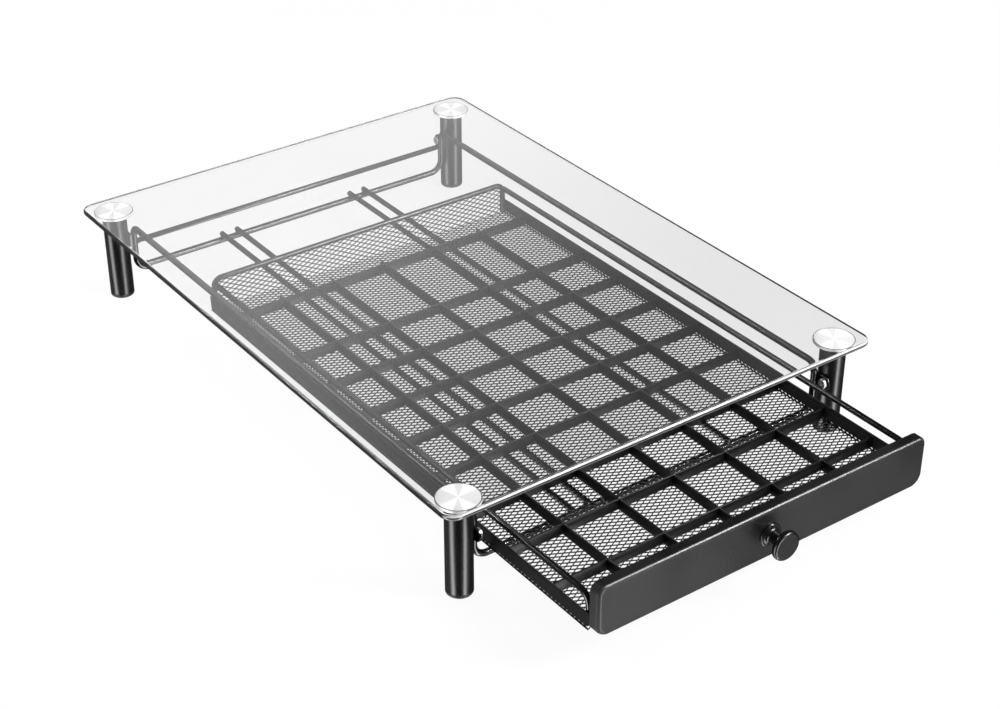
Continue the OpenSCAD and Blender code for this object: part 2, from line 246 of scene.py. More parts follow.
# Noise where the pale grains (the coat's random tone, partly painted glints) and the slow drift start and
# are whole
PALE_GRAINS_AND_GLINTS = (0.52, 0.72)
DRIFT = (0.35, 0.65)
DRIFT_MOST = 0.35
grain, given, leave = new_group("powder_grain", "ShaderNodeTree", GRAIN_INPUTS, GRAIN_OUTPUTS)
where = place_on_piece(grain)
density = math_node(grain, "DIVIDE", 1.0, given["Grain Size"])
fine = noise(grain, where, density, 2.0)
slow = noise(grain, where, math_node(grain, "MULTIPLY", density, SLOW_DENSITY), 1.0)
pale_grains_and_glints = ramp(grain, fine, *PALE_GRAINS_AND_GLINTS, 0.0, 1.0)
drift = ramp(grain, slow, *DRIFT, 0.0, DRIFT_MOST)
amount = math_node(grain, "MAXIMUM", pale_grains_and_glints, drift)
fill(grain, leave, {
    "Colour": mixed_colour(grain, amount, given["Dark"], given["Light"]),
    "Roughness": mixed_number(grain, fine, given["Gloss Low"], given["Gloss High"]),
    "Height": fine,
})
print("powder grain group:", len(grain.nodes), "nodes")

# %% Coated materials
BLUISH = 1.03  # the blue of these blacks beside their red and green


def coated(name, dark, light, grain_mm, gloss, specular, bump_mm):
    """Black coat over steel; dark and light are grey levels, gloss the roughness range."""
    made, tree, shader = new_material(name)
    coat = add(tree, "ShaderNodeGroup", {
        "Dark": (dark, dark, dark * BLUISH, 1), "Light": (light, light, light * BLUISH, 1),
        "Grain Size": grain_mm * MM, "Gloss Low": gloss[0], "Gloss High": gloss[1],
    }, node_tree=grain)
    bump = add(tree, "ShaderNodeBump", {"Height": coat.outputs["Height"], "Distance": bump_mm * MM})
    fill(tree, shader, {
        "Base Color": coat.outputs["Colour"], "Roughness": coat.outputs["Roughness"],
        "Normal": bump.outputs["Normal"], "Specular IOR Level": specular,
    })
    return made


# Each coat's two greys, grain in mm, range of roughness, gloss level and bump in mm
black_wire = coated("black_wire", 0.003, 0.007, 0.35, (0.15, 0.21), 0.50, 0.008)
black_leg = coated("black_leg", 0.004, 0.008, 0.30, (0.24, 0.30), 0.35, 0.006)
black_panel = coated("black_panel", 0.003, 0.032, 0.95, (0.28, 0.34), 0.30, 0.080)
black_knob = coated("black_knob", 0.003, 0.009, 0.30, (0.22, 0.30), 0.40, 0.010)
black_mesh = coated("black_mesh", 0.002, 0.005, 0.35, (0.28, 0.38), 0.12, 0.010)
black_strip = coated("black_strip", 0.003, 0.008, 0.35, (0.28, 0.36), 0.28, 0.008)
foot_plastic = coated("foot_plastic", 0.006, 0.012, 0.60, (0.45, 0.60), 0.30, 0.020)
print("coats made")

# %% The panel's two ends
# Where the panel's sheet turns back at its two ends, the coat lies thicker and duller
END_TURN = (0.08, 0.40)  # sideways part of the normal where that starts and is whole
END_ROUGHNESS = 0.65
tree = black_panel.node_tree
roughness = tree.nodes["Principled BSDF"].inputs["Roughness"]
at_end = ramp(tree, math_node(tree, "ABSOLUTE", way_out(tree)[0]), *END_TURN, 0.0, 1.0)
even_roughness = roughness.links[0].from_socket
tree.links.new(mixed_number(tree, at_end, even_roughness, END_ROUGHNESS), roughness)
print("panel coat:", len(tree.nodes), "nodes")

# %% [markdown]
# ## Finishes: spun steel
# The discs under the glass were faced on a lathe, so their scratches are circles. Light
# runs along such scratches in pale rays from the middle to the rim. Two things make the
# rays here: the shader's own anisotropy, with its tangent running round the disc, and a
# painted highlight: pale rays at set angles that the group lays over rings of noise,
# which are long round the middle and short across it.

# %% Middle of the nearest disc
SPUN_INPUTS = {
    "Middle X": (FLOAT, 0.15),
    "Middle Y": (FLOAT, 0.0),
    "Middle Offset": (FLOAT, 0.0),
    "Groove Size": (FLOAT, 0.0002),
    "Rim Radius": (FLOAT, 0.0137),
}
SPUN_OUTPUTS = {"Rim": FLOAT, "Grooves": FLOAT, "Painted Rays": FLOAT, "Round": VECTOR}
spun, given, leave = new_group("spun_grooves", "ShaderNodeTree", SPUN_INPUTS, SPUN_OUTPUTS)
axes = add(spun, "ShaderNodeSeparateXYZ", {0: place_on_piece(spun)}).outputs
# The discs stand at the corners of a rectangle, each with its middle on its own side
x_mid = math_node(spun, "MULTIPLY", math_node(spun, "SIGN", axes[0]), given["Middle X"])
x_off = math_node(spun, "SUBTRACT", axes[0], x_mid)
y_in = math_node(spun, "SUBTRACT", axes[1], given["Middle Offset"])
y_mid = math_node(spun, "MULTIPLY", math_node(spun, "SIGN", y_in), given["Middle Y"])
y_off = math_node(spun, "SUBTRACT", y_in, y_mid)
flat = combined(spun, x_off, y_off)
radius = add(spun, "ShaderNodeVectorMath", {0: flat}, operation="LENGTH").outputs["Value"]
angle = math_node(spun, "ARCTAN2", y_off, x_off)
print("places round the discs:", len(spun.nodes), "nodes")

# %% Grooves and painted highlight rays
GROOVE_CHANGES = 0.6  # round the disc, per radian
PAINTED_RAY_CHANGES = 3.0
# Directions of the painted highlight rays across the disc, in degrees
PAINTED_RAY_WAYS = (21, 87)  # degrees
PAINTED_RAY_EDGE = (0.95, 1.02)
UNEVEN_EDGE = 0.08
FACE_UP = 0.5
ring_place = math_node(spun, "DIVIDE", radius, given["Groove Size"])
ring_point = combined(spun, ring_place, math_node(spun, "MULTIPLY", angle, GROOVE_CHANGES))
highlight_arms = [math_node(spun, "ABSOLUTE", math_node(spun, "COSINE", math_node(
    spun, "SUBTRACT", angle, math.radians(degrees)))) for degrees in PAINTED_RAY_WAYS]
uneven = noise(spun, combined(spun, math_node(spun, "MULTIPLY", angle, PAINTED_RAY_CHANGES)), 2.0, 2.0)
near_highlight_arm = math_node(spun, "MULTIPLY_ADD", uneven, UNEVEN_EDGE, math_node(spun, "MAXIMUM", *highlight_arms))
past_rim = math_node(spun, "GREATER_THAN", radius, given["Rim Radius"])
# A quarter turn of the way out from the middle runs round the disc
round_way = combined(spun, math_node(spun, "MULTIPLY", y_off, -1.0), x_off)
round_unit = add(spun, "ShaderNodeVectorMath", {0: round_way}, operation="NORMALIZE")
fill(spun, leave, {
    "Rim": math_node(spun, "MULTIPLY", past_rim,
                     math_node(spun, "GREATER_THAN", way_out(spun)[2], FACE_UP)),
    "Grooves": noise(spun, ring_point, 1.0, 1.0),
    "Painted Rays": ramp(spun, near_highlight_arm, *PAINTED_RAY_EDGE, 0.0, 1.0),
    "Round": round_unit.outputs[0],
})
print("spun grooves group:", len(spun.nodes), "nodes")

# %% Steels
GROOVE_W = 0.22 * MM
GROOVE_DEPTH = 0.006 * MM
DARK_RIM_W = 0.7 * MM
DARK_RIM = (0.06, 0.06, 0.07, 1)
NOISE_MID = (0.3, 0.7)  # most of a noise lies between
MARKS_DENSITY = 1800.0  # per m


def spun_steel(name, low, high, gloss):
    """Steel turned on a lathe: pale painted highlight rays over fine rings."""
    made, tree, shader = new_material(name)
    disc = middle("disc_rear_right")
    lathe = add(tree, "ShaderNodeGroup", {
        "Middle X": disc.x, "Middle Offset": stand_mid.y, "Middle Y": disc.y - stand_mid.y,
        "Groove Size": GROOVE_W, "Rim Radius": size("disc_rear_right").x / 2 - DARK_RIM_W,
    }, node_tree=spun).outputs
    # Pale painted highlight rays over the disc's grey
    rays = mixed_colour(tree, lathe["Painted Rays"], (low, low, low, 1), (high, high, high, 1))
    bump = add(tree, "ShaderNodeBump", {"Height": lathe["Grooves"], "Distance": GROOVE_DEPTH})
    fill(tree, shader, {
        "Base Color": mixed_colour(tree, lathe["Rim"], rays, DARK_RIM),
        "Roughness": ramp(tree, lathe["Grooves"], *NOISE_MID, *gloss),
        "Normal": bump.outputs["Normal"], "Tangent": lathe["Round"],
        "Metallic": 0.3, "Anisotropic": 0.6,
    })
    return made


# The disc's grey and the paler grey of its painted highlight rays
brushed_steel = spun_steel("brushed_steel", 0.63, 0.86, (0.30, 0.42))
screw_steel, tree, shader = new_material("screw_steel")
turned_marks = noise(tree, place_on_piece(tree), MARKS_DENSITY, 3.0)
fill(tree, shader, {
    "Base Color": mixed_colour(tree, turned_marks, (0.45, 0.45, 0.46, 1), (0.68, 0.68, 0.69, 1)),
    "Roughness": ramp(tree, turned_marks, *NOISE_MID, 0.22, 0.4),
    "Metallic": 1.0,
})
print("steels made")

# %% [markdown]
# ## Finishes: clear glass
# Tempered shelf glass is clear through its face, and a volume that swallows a little
# light dims what lies under it. Its polished edge is another matter: light that runs
# through the sheet comes out there in bands, a bright one above, then a dark and a grey
# line. Tracing that would take dozens of bounces, so the edge is painted with its bands
# by height. Lamps have to reach the drawer below, so for shadow rays the glass is open.

# %% Face of the glass
FILM_DENSITY = 14.0  # per m
clear_glass, tree, face_shader = new_material("clear_glass")
film = noise(tree, place_on_piece(tree), FILM_DENSITY, 3.0)
fill(tree, face_shader, {
    "Base Color": mixed_colour(tree, film, (0.985, 0.985, 0.985, 1), (1, 1, 1, 1)),
    "Roughness": 0.0, "IOR": 1.5, "Transmission Weight": 1.0,
})
print("face of the glass made")

# %% Edge of the glass
# Share of the way up and the grey of the painted edge light there, blended in between
PAINTED_EDGE_BANDS = ((0.12, 0.01), (0.20, 0.20), (0.44, 0.24), (0.50, 0.01), (0.64, 0.01), (0.70, 0.60))
EDGE_BLUISH = 1.02
EDGE_TURN = (-0.60, -0.15)  # Y part of the normal where their light is whole and least
EDGE_REAR = 0.07  # share of the bands' light that the edges turned from the front keep
EDGE_ROUGHNESS = 0.12
FLAT_FACE = 0.90
height = add(tree, "ShaderNodeSeparateXYZ", {0: place_on_piece(tree)}).outputs[2]
sheet_low, sheet_high = (corner.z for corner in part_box("glass_shelf"))
share_up = ramp(tree, height, sheet_low, sheet_high, 0.0, 1.0, smooth=False)
# The edge's painted light: a bright band, then a dark and a grey line, by height
bands = add(tree, "ShaderNodeValToRGB", {0: share_up})
stops = bands.color_ramp.elements
stops.remove(stops[1])
for number, (share, level) in enumerate(PAINTED_EDGE_BANDS):
    stop = stops.new(share) if number else stops[0]
    stop.position = share
    stop.color = (level, level, level * EDGE_BLUISH, 1)
facing = way_out(tree)
# Painted shade: edges turned away from the front keep only EDGE_REAR of the painted light
painted_edge_light_share = ramp(tree, facing[1], *EDGE_TURN, 1.0, EDGE_REAR)
painted_band_light = add(tree, "ShaderNodeVectorMath", {0: bands.outputs[0], "Scale": painted_edge_light_share}, operation="SCALE")
edge_shader = add(tree, "ShaderNodeBsdfPrincipled", {
    "Base Color": painted_band_light.outputs[0], "Roughness": EDGE_ROUGHNESS})
on_edge = math_node(tree, "LESS_THAN", math_node(tree, "ABSOLUTE", facing[2]), FLAT_FACE)
print("edge of the glass made:", len(stops), "bands")

# %% Whole glass
sheet = add(tree, "ShaderNodeMixShader", {0: on_edge, 1: face_shader.outputs[0], 2: edge_shader.outputs[0]})
lets_lamps_through = add(tree, "ShaderNodeBsdfTransparent", {"Color": (0.87, 0.87, 0.87, 1)})
open_for_shadow = add(tree, "ShaderNodeMixShader", {
    0: add(tree, "ShaderNodeLightPath").outputs["Is Shadow Ray"],
    1: sheet.outputs[0], 2: lets_lamps_through.outputs[0]})
swallow = add(tree, "ShaderNodeVolumeAbsorption", {"Color": (0.80, 0.80, 0.80, 1), "Density": 110.0})
fill(tree, tree.nodes["Material Output"], {
    "Surface": open_for_shadow.outputs[0], "Volume": swallow.outputs[0]})
print("glass made:", len(tree.nodes), "nodes")

# %% [markdown]
# ## Mesh helpers
# Three kinds of shape cover most of the pieces. A stack of outlines makes the glass and
# the pressed panel, a turned profile makes legs, feet, discs and the knob, and a wire is
# a round bar along a bent line. Each finished mesh then gets its object in one place,
# where it is hung on the body that carries it and the solids that it stands for are hidden.

# %% Arcs, outlines and stacks
CORNER_STEPS = 10


def arc(x, z, r, start, end, steps=6):
    """Points of an arc about (x, z), angles in degrees."""
    angles = [math.radians(start + (end - start) * i / steps) for i in range(steps + 1)]
    return [(x + r * math.cos(a), z + r * math.sin(a)) for a in angles]


def outline(half_w, low, high, low_r, high_r):
    """Rectangle from low to high with rounded corners, as points running anticlockwise."""
    corners = (
        (half_w - low_r, low + low_r, low_r, -90),
        (half_w - high_r, high - high_r, high_r, 0),
        (high_r - half_w, high - high_r, high_r, 90),
        (low_r - half_w, low + low_r, low_r, 180),
    )
    return [point for x, y, r, start in corners
            for point in arc(x, y, r, start, start + 90, CORNER_STEPS)]


def stacked(rings):
    """Vertices and faces of a skin over rings of equal count, with both ends filled."""
    count = len(rings[0])
    verts = [point for ring in rings for point in ring]
    faces = []
    for a in range(0, len(verts) - count, count):
        b = a + count
        for i in range(count):
            j = (i + 1) % count
            faces.append((a + i, a + j, b + j, b + i))
    faces.append(tuple(reversed(range(count))))
    faces.append(tuple(range(len(verts) - count, len(verts))))
    return verts, faces


def turned(profile, sides=64):
    """Vertices and faces of a profile of (radius, height) turned round Z."""
    return stacked([[(x, y, z) for x, y in arc(0, 0, r, 0, 360, sides)[:-1]] for r, z in profile])


def moved(part, matrix):
    """The same vertices and faces, carried by a matrix."""
    verts, faces = part
    return [matrix @ Vector(v) for v in verts], faces


print("points of an outline with four round corners:", len(outline(2, -2, 2, 1, 1)))

# %% From mesh to finished piece
SHARP_ANGLE = math.radians(38)
MERGE_WITHIN = 1e-7  # m


def shape(name, parts):
    """One mesh from several (vertices, faces), with its normals facing outwards."""
    verts, faces = [], []
    for part_verts, part_faces in parts:
        start = len(verts)
        verts += [tuple(v) for v in part_verts]
        faces += [tuple(i + start for i in f) for f in part_faces]
    mesh = bpy.data.meshes.new(name)
    mesh.from_pydata(verts, [], faces)
    tidy = bmesh.new()
    tidy.from_mesh(mesh)
    bmesh.ops.remove_doubles(tidy, verts=tidy.verts, dist=MERGE_WITHIN)
    bmesh.ops.recalc_face_normals(tidy, faces=tidy.faces)
    tidy.to_mesh(mesh)
    tidy.free()
    return mesh


def finish_piece(name, mesh, material, body, nodes=()):
    """The mesh as an object that rides on its body, with the solids it stands for hidden."""
    mesh.materials.clear()
    mesh.materials.append(material)
    mesh.shade_smooth()
    mesh.set_sharp_from_angle(angle=SHARP_ANGLE)
    obj = placed(name, mesh)
    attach(obj, body)
    if nodes:
        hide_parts(*nodes)
    low = in_mm(min(v.co[i] for v in mesh.vertices) for i in range(3))
    high = in_mm(max(v.co[i] for v in mesh.vertices) for i in range(3))
    print(f"{name}: {len(mesh.polygons)} faces, {low} to {high} mm")


# %% [markdown]
# ## The glass shelf
# A sheet of 4 mm tempered glass with corners of 10 mm radius. Its edge is polished round,
# which is what bends the light into a bright and a dark line along each side. A bevel
# modifier would do, but a stack of outlines gives exact control of that round edge.

# %% Glass shelf
GLASS_CORNER = 10 * MM
GLASS_EDGE_R = 1.8 * MM
EDGE_STEPS = 8
FLAT_RIM = 0.4 * MM


def glass_sheet():
    """The sheet as outlines that follow its round edge from the lower face to the upper."""
    low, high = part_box("glass_shelf")
    half_w = (high.x - low.x) / 2
    r = GLASS_EDGE_R
    rings = []
    for out, z in [*arc(0, low.z + r, r, -90, 0, EDGE_STEPS), *arc(0, high.z - r, r, 0, 90, EDGE_STEPS)]:
        inset = r - out
        corner_r = GLASS_CORNER - inset
        ring = outline(half_w - inset, low.y + inset, high.y - inset, corner_r, corner_r)
        rings.append([(x, y, z) for x, y in ring])
    return stacked([drawn_in(rings[0]), *rings, drawn_in(rings[-1])])


def drawn_in(ring):
    """The ring drawn in a little in its own plane, so that the round edge's shading
    doesn't spread over the flat face."""
    mid = sum((Vector(p) for p in ring), Vector()) / len(ring)
    reach = max((Vector(p) - mid).length for p in ring)
    return [tuple(mid + (Vector(p) - mid) * (1 - FLAT_RIM / reach)) for p in ring]


finish_piece("shelf_glass", shape("shelf_glass", [glass_sheet()]), clear_glass, "stand",
             ["glass_shelf"])

# %% [markdown]
# ## Discs, legs and feet
# These are lathe work: one profile each, turned round the leg's axis. A real edge is
# never a knife edge, so every profile has small arcs where the solid has a corner,
# and those arcs are what catches the light.

# %% Profiles of a disc, a leg and a foot
GLUE_GAP = 0.05 * MM
DISC_T = 2 * MM
DISC_EDGE_R = 0.35 * MM
STUB_R = 4 * MM
STUB_H = 4 * MM
LEG_LOW_R = 0.3 * MM
LEG_TOP_R = 0.7 * MM
FOOT_LOW_R = 1.8 * MM
FOOT_TOP_R = 0.2 * MM


def disc_profile(r, top):
    """Disc with the upper part of its stub."""
    under = top - DISC_T
    rim = arc(r - DISC_EDGE_R, under + DISC_EDGE_R, DISC_EDGE_R, -90, 0, 4)
    rim += arc(r - DISC_EDGE_R, top - DISC_EDGE_R, DISC_EDGE_R, 0, 90, 4)
    return [(0, under - STUB_H), (STUB_R, under - STUB_H), (STUB_R, under), *rim, (0, top)]


def leg_profile(r, low, high):
    """Leg with its upper edge eased more than its lower one."""
    rim = arc(r - LEG_LOW_R, low + LEG_LOW_R, LEG_LOW_R, -90, 0, 3)
    rim += arc(r - LEG_TOP_R, high - LEG_TOP_R, LEG_TOP_R, 0, 90, 5)
    return [(0, low), *rim, (0, high)]


def foot_profile(r, high):
    """Foot cap with a round lower edge."""
    rim = arc(r - FOOT_LOW_R, FOOT_LOW_R, FOOT_LOW_R, -90, 0, 8)
    rim += arc(r - FOOT_TOP_R, high - FOOT_TOP_R, FOOT_TOP_R, 0, 90, 3)
    return [(0, 0), *rim, (0, high)]


print("disc and leg in mm:", in_mm(size("disc_front_left")), in_mm(size("leg_front_left")))

# %% A disc, a leg and a foot at each corner
for corner in CORNERS:
    disc, leg, foot = (f"{kind}_{corner}" for kind in ("disc", "leg", "foot"))
    leg_low, leg_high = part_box(leg)
    leg_r = (leg_high.y - leg_low.y) / 2
    disc_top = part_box(disc)[1].z - GLUE_GAP
    axis = Matrix.Translation((middle(leg).x, middle(leg).y, 0))
    for kind, node, profile, material, slot in (
        ("steel_disc", disc, disc_profile(size(disc).x / 2, disc_top), brushed_steel, "brushed_steel"),
        ("round_leg", leg, leg_profile(leg_r, leg_low.z, leg_high.z), black_leg, "black_leg"),
        ("foot_cap", foot, foot_profile(leg_r, leg_low.z), foot_plastic, "foot_plastic"),
    ):
        part = moved(turned(profile), axis)
        finish_piece(f"{kind}_{corner}", shape(kind, [part]), material, "stand", [node])

# %% [markdown]
# ## Bent wires
# The frame, the runners and the drawer's rails are round steel wire, bent in a press.
# A wire is fully told by its corner points, the radius of each bend and its thickness,
# so a Geometry Nodes tree makes all of them: it rounds the corners of a line and carries
# a circle along it. A point's own bend radius and thickness come in as attributes.
# Every tree in this lesson ends the same way. Its instances are made real, because a
# plain mesh can't hold them, and the result gets the material that the tree was given.


# %% How a tree ends and how it is run
def end_tree(tree, geometry, given, leave):
    """Make a tree's instances real and give them its material."""
    whole = add(tree, "GeometryNodeRealizeInstances", {0: geometry})
    coat = add(tree, "GeometryNodeSetMaterial", {
        "Geometry": whole.outputs[0], "Material": given["Material"]})
    tree.links.new(coat.outputs[0], leave.inputs[0])
    print(f"{tree.name} tree: {len(tree.nodes)} nodes")


def grown(name, mesh, tree, values):
    """The plain mesh that a Geometry Nodes tree makes of a mesh with these inputs."""
    carrier = placed(name + "_carrier", mesh)
    modifier = carrier.modifiers.new("grow", "NODES")
    modifier.node_group = tree
    for item in tree.interface.items_tree:
        if item.in_out == "INPUT" and item.name in values:
            modifier[item.identifier] = values[item.name]
    depsgraph = bpy.context.evaluated_depsgraph_get()
    result = bpy.data.meshes.new_from_object(carrier.evaluated_get(depsgraph), depsgraph=depsgraph)
    result.name = name
    carrier.modifiers.remove(modifier)
    bpy.data.objects.remove(carrier)
    return result


GEOMETRY_OUT = {"Geometry": GEOMETRY}

# %% The wire tree
WIRE_INPUTS = {
    "Line": (GEOMETRY, None),
    "Wire Radius": (FLOAT, 0.00225),
    "Bend Steps": (WHOLE, 10),
    "Sides": (WHOLE, 20),
    "Material": (MATERIAL, None),
}
wire_tree, given, leave = new_group("bent_wire", "GeometryNodeTree", WIRE_INPUTS, GEOMETRY_OUT)
bend, thick = (add(wire_tree, "GeometryNodeInputNamedAttribute", {"Name": name}, data_type="FLOAT")
               for name in ("bend", "thick"))
line = add(wire_tree, "GeometryNodeMeshToCurve", {"Mesh": given["Line"]})
rounded = add(wire_tree, "GeometryNodeFilletCurve", {
    "Curve": line.outputs[0], "Count": given["Bend Steps"],
    "Radius": bend.outputs["Attribute"]}, mode="POLY")
circle = add(wire_tree, "GeometryNodeCurvePrimitiveCircle", {
    "Resolution": given["Sides"], "Radius": given["Wire Radius"]})
bar = add(wire_tree, "GeometryNodeCurveToMesh", {
    "Curve": rounded.outputs[0], "Profile Curve": circle.outputs[0],
    "Scale": thick.outputs["Attribute"], "Fill Caps": True})
end_tree(wire_tree, bar.outputs[0], given, leave)

# %% Lines for the wires
DOME_ANGLES = (15, 35, 60)  # of the rings that round a cut end, from its middle
DOME_RISE = 0.35  # of the wire's radius


def dome(tip, toward, radius):
    """Points with (bend, thickness) that give a wire's cut end a low dome."""
    rise = (toward - tip).normalized() * DOME_RISE * radius
    angles = [math.radians(a) for a in DOME_ANGLES]
    return [*((tip + rise * (1 - math.cos(a)), 0.0, math.sin(a)) for a in angles), (tip + rise, 0.0, 1.0)]


def wire_line(name, runs, radius):
    """Corner points of wires as a mesh; each run is (points with their bends, closed)."""
    verts, edges, bends, thick = [], [], [], []
    for points, closed in runs:
        start = len(verts)
        line = [(Vector(p), b, 1.0) for p, b in points]
        if not closed:
            low_end = dome(line[0][0], line[1][0], radius)
            high_end = dome(line[-1][0], line[-2][0], radius)
            line = [*low_end, *line[1:-1], *reversed(high_end)]
        for p, b, t in line:
            verts.append(p)
            bends.append(b)
            thick.append(t)
        edges += [(i, i + 1) for i in range(start, len(verts) - 1)]
        if closed:
            edges.append((len(verts) - 1, start))
    mesh = bpy.data.meshes.new(name)
    mesh.from_pydata(verts, edges, [])
    mesh.attributes.new("bend", "FLOAT", "POINT").data.foreach_set("value", bends)
    mesh.attributes.new("thick", "FLOAT", "POINT").data.foreach_set("value", thick)
    return mesh


def wires(name, runs, radius, body, nodes):
    """Bent wires as one finished piece."""
    values = {"Wire Radius": radius, "Material": black_wire}
    mesh = grown(name, wire_line(name, runs, radius), wire_tree, values)
    finish_piece(name, mesh, black_wire, body, nodes)


# %% [markdown]
# ## The wire frame
# On the real stand one closed wire goes all the way round: along the left side, down
# beside the rear leg, across under the drawer, up again, forward along the right side
# and so on. The solid model keeps its stretches apart. Here it is one piece with the
# same centre line, whose two kinds of bend have different radii.

# %% Frame loop
TOP_BEND = 6 * MM
LOW_BEND = 10 * MM
frame_x = middle("side_rail_right").x
side_z = middle("side_rail_right").z
rail_z = middle("front_lower_rail").z
wire_r = size("side_rail_right").x / 2
frame_y = {end: middle(f"{end}_lower_rail").y for end in ENDS}

loop = []
for end, first in (("rear", frame_x), ("front", -frame_x)):
    loop += [
        ((first, frame_y[end], side_z), TOP_BEND),
        ((first, frame_y[end], rail_z), LOW_BEND),
        ((-first, frame_y[end], rail_z), LOW_BEND),
        ((-first, frame_y[end], side_z), TOP_BEND),
    ]
frame_nodes = [f"corner_bend_{corner}" for corner in CORNERS]
frame_nodes += ["side_rail_left", "side_rail_right", "front_lower_rail", "rear_lower_rail"]
wires("frame_wire", [(loop, True)], wire_r, "stand", frame_nodes)

# %% Lugs for the leg screws
LUG_T = 1.5 * MM
LUG_H = 10 * MM
LUG_EDGE = 0.25 * MM
LUG_ROOT = 1 * MM
LUG_TURN = 75  # degrees of its round end to each side
screw_low, screw_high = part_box("frame_screws")
screw_z = (screw_low.z + screw_high.z) / 2
screw_head_r = (screw_high.z - screw_low.z) / 2
screw_y = {"front": screw_low.y + screw_head_r, "rear": screw_high.y - screw_head_r}
lug_x = frame_x + wire_r


def lug(side, end):
    """Flat tab with a round end, welded to the post and lying against the leg."""
    reach = abs(screw_y[end] - frame_y[end])
    rings = []
    for x, inset in ((0, LUG_EDGE), (LUG_EDGE, 0), (LUG_T - LUG_EDGE, 0), (LUG_T, LUG_EDGE)):
        r = LUG_H / 2 - inset
        round_end = arc(reach, 0, r, -LUG_TURN, LUG_TURN, 10)
        ring = [(-LUG_ROOT, -r), (reach, -r), *round_end, (reach, r), (-LUG_ROOT, r)]
        rings.append([(SIDES[side] * (lug_x + x), frame_y[end] + ENDS[end] * u, screw_z + v)
                      for u, v in ring])
    return stacked(rings)


lugs = [lug(side, end) for end in ENDS for side in SIDES]
finish_piece("leg_lugs", shape("leg_lugs", lugs), black_wire, "stand",
             [f"corner_post_{corner}" for corner in CORNERS])

# %% Stop rail and runners
STOP_SEAT = 0.6  # of the frame wire's radius, where the stop rail ends in it
RUNNERS = [f"runner_{i}" for i in range(1, 5)]
runs = []
for runner in RUNNERS:
    low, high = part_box(runner)
    mid = middle(runner)
    runs.append(([((mid.x, low.y, mid.z), 0), ((mid.x, high.y, mid.z), 0)], False))
wires("runner_wires", runs, size("runner_1").x / 2, "stand", RUNNERS)

stop = middle("rear_stop_rail")
stop_run = [((x * (frame_x - wire_r * STOP_SEAT), stop.y, stop.z), 0) for x in (-1, 1)]
wires("stop_rail_wire", [(stop_run, False)], size("rear_stop_rail").z / 2, "stand", ["rear_stop_rail"])

# %% [markdown]
# ## Rim and rails of the drawer
# The rim is a wire bent like a staple round the rear wall. Each side rail is another
# wire that starts at the rim, runs forward over the side wall and bends down behind the
# front panel, where it stands on the tray.

# %% Rim and rails
RIM_BEND = 6 * MM
RAIL_BEND = 8 * MM
RAIL_SEAT = 0.5  # of the rim wire's radius, where a rail ends in it
rim_low, rim_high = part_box("rear_rim")
thin_r = (rim_high.y - rim_low.y) / 2
rim_x = rim_high.x - thin_r
rim_y = (rim_low.y + rim_high.y) / 2
rim_z = rim_high.z - thin_r
rim_line = [((-rim_x, rim_y, rim_low.z), 0), ((-rim_x, rim_y, rim_z), RIM_BEND),
            ((rim_x, rim_y, rim_z), RIM_BEND), ((rim_x, rim_y, rim_low.z), 0)]
wires("rear_rim_wire", [(rim_line, False)], thin_r, "drawer", ["rear_rim"])

for side in SIDES:
    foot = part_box(f"rail_end_{side}")[0]
    rail = middle(f"drawer_rail_{side}")
    post_y = foot.y + thin_r
    rail_line = [((rail.x, post_y, foot.z), 0), ((rail.x, post_y, rail.z), RAIL_BEND),
                 ((rail.x, rim_y - thin_r * RAIL_SEAT, rail.z), 0)]
    wires(f"side_rail_wire_{side}", [(rail_line, False)], thin_r, "drawer",
          [f"drawer_rail_{side}", f"rail_end_{side}"])

# %% [markdown]
# ## Weld nuggets
# Where two wires cross, a resistance welder has melted them together, and a little metal
# is squeezed out round the joint. These beads repeat all over the frame, so a tree puts
# one low blob on every point of a point cloud, wider along the wire below.

# %% The bead tree
BEAD_INPUTS = {
    "Points": (GEOMETRY, None),
    "Bead Radius": (FLOAT, 0.002),
    "Squash": (VECTOR, (1.0, 1.0, 0.6)),
    "Seed": (WHOLE, 3),
    "Material": (MATERIAL, None),
}
BEAD_LEAST, BEAD_MOST = 0.85, 1.1  # of the bead's own size
bead_tree, given, leave = new_group("weld_beads", "GeometryNodeTree", BEAD_INPUTS, GEOMETRY_OUT)
blob = add(bead_tree, "GeometryNodeMeshIcoSphere", {
    "Radius": given["Bead Radius"], "Subdivisions": 3})
uneven_size = add(bead_tree, "FunctionNodeRandomValue", {
    2: BEAD_LEAST, 3: BEAD_MOST, "Seed": given["Seed"]}, data_type="FLOAT")
bead_scale = add(bead_tree, "ShaderNodeVectorMath", {
    0: given["Squash"], "Scale": uneven_size.outputs[1]}, operation="SCALE")
beads = add(bead_tree, "GeometryNodeInstanceOnPoints", {
    "Points": given["Points"], "Instance": blob.outputs["Mesh"],
    "Scale": bead_scale.outputs[0]})
end_tree(bead_tree, beads.outputs[0], given, leave)


# %% Beads where the wires cross
def weld_beads(name, points, squash, radius):
    """Beads at these points of the frame, as one finished piece."""
    cloud = bpy.data.meshes.new(name)
    cloud.from_pydata(points, [], [])
    values = {"Bead Radius": radius, "Squash": squash, "Material": black_wire}
    finish_piece(name, grown(name, cloud, bead_tree, values), black_wire, "stand")


BEAD_RISE = 0.1 * MM
# A bead's stretch along X, Y and Z, and its radius
RUNNER_BEAD = ((1.25, 1.15, 0.6), 1.9 * MM)
STOP_BEAD = ((0.6, 1.0, 1.0), 2.3 * MM)
crossing_z = (middle("runner_1").z + rail_z) / 2 + BEAD_RISE
crossings = [(middle(runner).x, frame_y[end], crossing_z) for runner in RUNNERS for end in ENDS]
weld_beads("runner_welds", crossings, *RUNNER_BEAD)
stop_ends = [(x * (frame_x - wire_r), stop.y, stop.z) for x in (-1, 1)]
weld_beads("stop_rail_welds", stop_ends, *STOP_BEAD)

